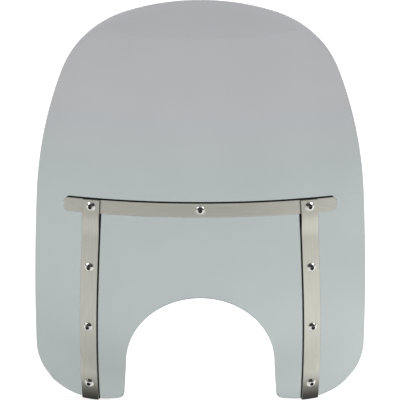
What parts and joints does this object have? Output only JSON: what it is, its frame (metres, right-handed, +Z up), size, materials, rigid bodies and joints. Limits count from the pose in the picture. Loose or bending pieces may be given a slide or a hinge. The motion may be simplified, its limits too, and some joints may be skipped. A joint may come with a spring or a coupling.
{
  "type": "motorcycle windshield screen",
  "caption": "Curved smoke-tinted windshield screen with a round headlight cut-out, a cross strap and two side straps bolted on through rubber bushes.",
  "frame": {"origin": "centre of the bounding box on the level of the two feet", "axes": "+Z up the screen, -Y ahead (the outer, convex face looks along -Y), +X to the right as seen from ahead"},
  "size_m": [0.482, 0.092, 0.6049],
  "materials": {
    "smoke_acrylic": "polished, lightly smoked",
    "polished_stainless": "fine lengthwise grain, polished",
    "black_tape": "matt closed-cell tape",
    "black_rubber": "matt",
    "washer_steel": "satin",
    "nut_steel": "polished",
    "screw_steel": "polished"
  },
  "bodies": {
    "root": {"screen": "smoke_acrylic", "cross_strap": "polished_stainless", "left_strap": "polished_stainless", "right_strap": "polished_stainless", "cross_gasket": "black_tape", "left_gasket": "black_tape", "right_gasket": "black_tape", "centre_screw": "screw_steel", "centre_bush": "black_rubber", "centre_washer": "washer_steel", "centre_cap_nut": "nut_steel", "left_corner_screw": "screw_steel", "left_corner_bush": "black_rubber", "left_corner_washer": "washer_steel", "left_corner_cap_nut": "nut_steel", "right_corner_screw": "screw_steel", "right_corner_bush": "black_rubber", "right_corner_washer": "washer_steel", "right_corner_cap_nut": "nut_steel", "left_upper_screw": "screw_steel", "left_upper_bush": "black_rubber", "left_upper_washer": "washer_steel", "left_upper_nut": "nut_steel", "left_middle_screw": "screw_steel", "left_middle_bush": "black_rubber", "left_middle_washer": "washer_steel", "left_middle_nut": "nut_steel", "left_lower_screw": "screw_steel", "left_lower_bush": "black_rubber", "left_lower_washer": "washer_steel", "left_lower_nut": "nut_steel", "right_upper_screw": "screw_steel", "right_upper_bush": "black_rubber", "right_upper_washer": "washer_steel", "right_upper_nut": "nut_steel", "right_middle_screw": "screw_steel", "right_middle_bush": "black_rubber", "right_middle_washer": "washer_steel", "right_middle_nut": "nut_steel", "right_lower_screw": "screw_steel", "right_lower_bush": "black_rubber", "right_lower_washer": "washer_steel", "right_lower_nut": "nut_steel"}
  },
  "joints": []
}
